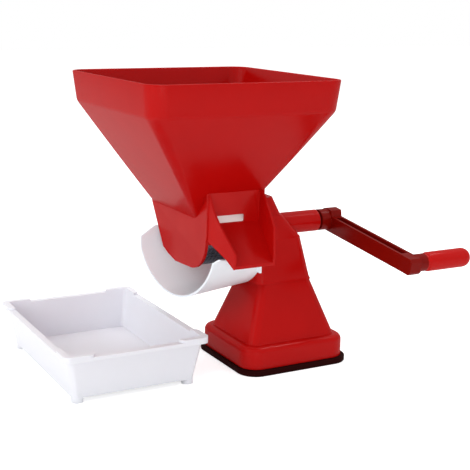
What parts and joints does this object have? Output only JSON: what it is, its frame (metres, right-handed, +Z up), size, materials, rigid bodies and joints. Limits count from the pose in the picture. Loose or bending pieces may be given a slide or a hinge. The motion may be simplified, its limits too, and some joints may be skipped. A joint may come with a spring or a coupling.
{
  "type": "tomato strainer",
  "caption": "Hand cranked tomato strainer: square hopper over a perforated drum, front chute, juice trough, suction foot with lever, crank arm with a turning grip, and a tray.",
  "frame": {"origin": "middle of the rubber foot's underside, on the worktop", "axes": "+Z up, +X along the crank axis towards the crank, skins leave towards -Y"},
  "size_m": [0.3833, 0.291, 0.2903],
  "materials": {
    "red_gloss": "glossy",
    "dark_red": "glossy",
    "white_plastic": "satin",
    "black_rubber": "matt",
    "drum_steel": "brushed",
    "steel": "brushed"
  },
  "bodies": {
    "frame": {"hopper": "red_gloss", "drum_housing": "red_gloss", "pedestal": "red_gloss", "suction_cup": "black_rubber", "stand_screws": "steel", "trough_screws": "steel", "tube_bush_inner": "white_plastic", "tube_bush_outer": "white_plastic", "bearing_bush": "white_plastic", "scraper_lip": "black_rubber", "juice_trough": "white_plastic"},
    "crank": {"crank_shaft": "steel", "drum_shell": "drum_steel", "drum_end_left": "white_plastic", "drum_end_right": "white_plastic", "crank_arm": "dark_red", "arm_washer": "steel", "arm_screw": "steel", "grip_bolt": "steel"},
    "handle": {"grip": "red_gloss", "grip_cap": "red_gloss"},
    "lever": {"lever_handle": "red_gloss", "cam_shaft": "steel", "lift_cam": "white_plastic"},
    "stud": {"cup_stud": "white_plastic"},
    "dish": {"tray": "white_plastic"}
  },
  "joints": [
    {"name": "crank_spin", "type": "hinge", "parent": "frame", "child": "crank", "pos_m": [0, 0, 0.138], "axis": [1, 0, 0], "continuous": true},
    {"name": "grip_spin", "type": "hinge", "parent": "crank", "child": "handle", "pos_m": [0.112, -0.13441, 0.12007], "axis": [1, 0, 0], "continuous": true},
    {"name": "lever_swing", "type": "hinge", "parent": "frame", "child": "lever", "pos_m": [0, 0.055, 0.05], "axis": [0, -1, 0], "range_deg": [0, 90]},
    {"name": "stud_lift", "type": "slide", "parent": "frame", "child": "stud", "axis": [0, 0, 1], "range_m": [0, 0.004], "deforming": ["suction_cup"]},
    {"name": "tray_slide", "type": "slide", "parent": "frame", "child": "dish", "axis": [-1, 0, 0], "range_m": [0, 0.12]}
  ],
  "couplings": [
    {"joint": "stud_lift", "follows": "lever_swing", "m_per_rad": 0.0025465}
  ]
}
